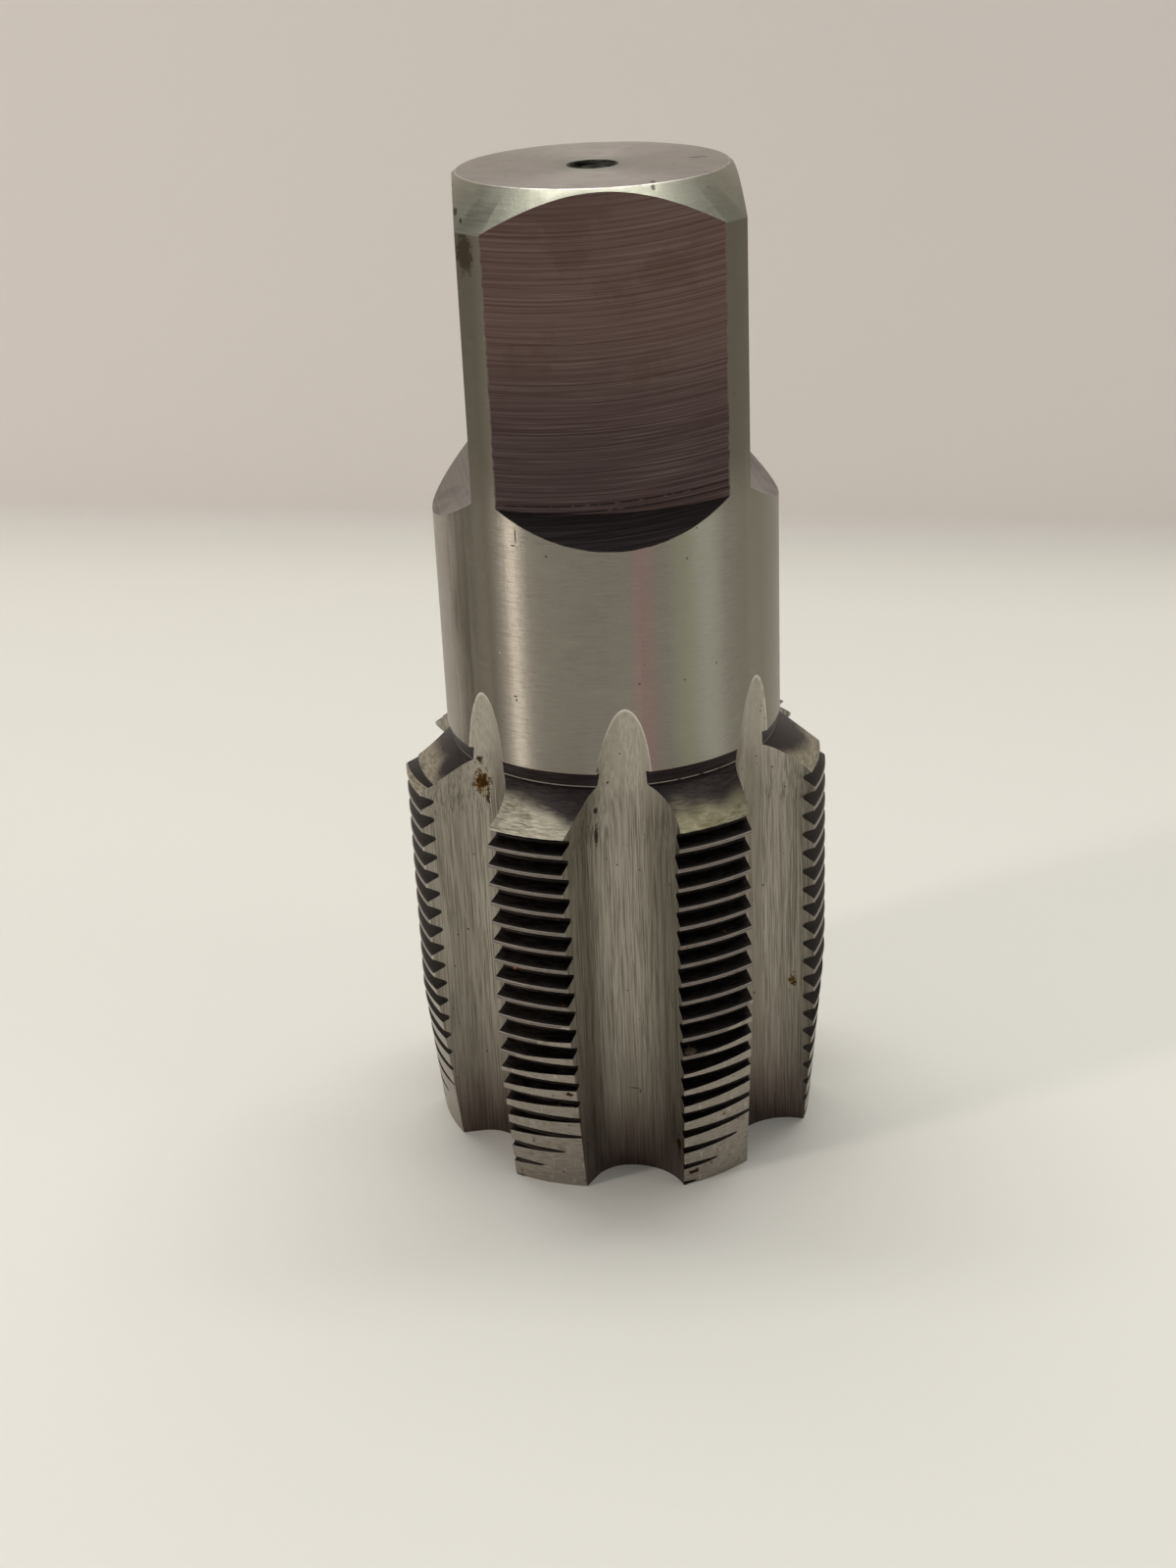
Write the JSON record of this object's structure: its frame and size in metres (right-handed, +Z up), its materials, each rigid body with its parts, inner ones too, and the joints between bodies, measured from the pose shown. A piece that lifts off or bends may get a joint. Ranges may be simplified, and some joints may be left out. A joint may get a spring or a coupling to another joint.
{
  "type": "hand tap",
  "caption": "Hand tap for parallel pipe thread: a squared steel shank above a threaded body with straight flutes and a short taper lead.",
  "frame": {"origin": "centre of the flat cutting end, on the tap's axis, where it stands", "axes": "+Z up the tap's axis towards the driving square, +X and +Y square to two of its flats"},
  "size_m": [0.0477, 0.0473, 0.1104],
  "materials": {
    "tool_steel": "ground and turned tool steel, dulled with age, rusted in spots"
  },
  "bodies": {
    "root": {"hand_tap": "tool_steel"}
  },
  "joints": []
}
